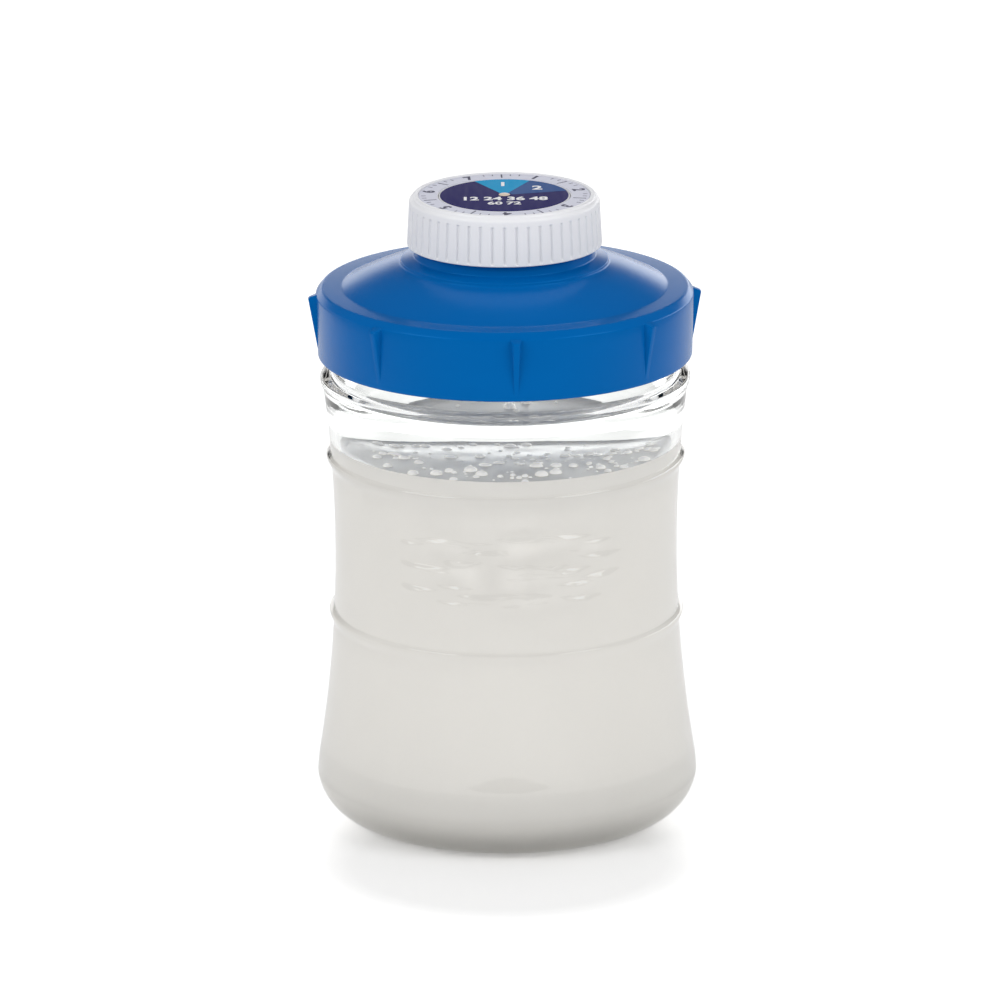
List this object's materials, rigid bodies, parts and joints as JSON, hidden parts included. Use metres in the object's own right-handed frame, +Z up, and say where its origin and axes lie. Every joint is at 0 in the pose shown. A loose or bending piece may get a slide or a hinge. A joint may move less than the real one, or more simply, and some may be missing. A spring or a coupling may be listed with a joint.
{
  "type": "fermentation jar",
  "caption": "Waisted glass fermentation jar filled with milk, closed by a finned screw lid with a strainer and a grooved screw cap that carries a turning reminder dial.",
  "frame": {"origin": "centre of the jar's foot, on the table", "axes": "+Z up along the jar's axis, -Y towards the front of the picture, +X to its right"},
  "size_m": [0.1054, 0.1054, 0.1719],
  "materials": {
    "jar_glass": "clear polished",
    "milk": "opaque white liquid",
    "lid_gasket": "translucent white silicone",
    "lid_shell": "satin blue polypropylene",
    "strainer": "satin blue polypropylene",
    "cap_liner": "soft white seal",
    "cap_shell": "satin white polypropylene",
    "day_ring": "printed grey label",
    "dial_disc": "white plastic",
    "dial_label": "printed glossy label, navy with two blue sectors",
    "dial_rivet": "small moulded rivet"
  },
  "bodies": {
    "jar": {"jar_glass": "jar_glass", "milk": "milk"},
    "gasket": {"lid_gasket": "lid_gasket"},
    "lid": {"lid_shell": "lid_shell", "strainer": "strainer"},
    "liner": {"cap_liner": "cap_liner"},
    "cap": {"cap_shell": "cap_shell", "day_ring": "day_ring", "dial_rivet": "dial_rivet"},
    "dial": {"dial_disc": "dial_disc", "dial_label": "dial_label"}
  },
  "joints": [
    {"name": "lid_lift", "type": "slide", "parent": "jar", "child": "gasket", "axis": [0, 0, 1], "range_m": [0, 0.032]},
    {"name": "lid_turn", "type": "hinge", "parent": "gasket", "child": "lid", "pos_m": [0, 0, 0.14], "axis": [0, 0, 1], "range_deg": [0, 720]},
    {"name": "cap_lift", "type": "slide", "parent": "lid", "child": "liner", "axis": [0, 0, 1], "range_m": [0, 0.016]},
    {"name": "cap_turn", "type": "hinge", "parent": "liner", "child": "cap", "pos_m": [0, 0, 0.165], "axis": [0, 0, 1], "range_deg": [0, 720]},
    {"name": "dial_turn", "type": "hinge", "parent": "cap", "child": "dial", "pos_m": [0, 0, 0.171], "axis": [0, 0, 1], "continuous": true}
  ],
  "couplings": [
    {"joint": "lid_turn", "follows": "lid_lift", "rad_per_m": 392.7},
    {"joint": "cap_turn", "follows": "cap_lift", "rad_per_m": 785.4}
  ]
}
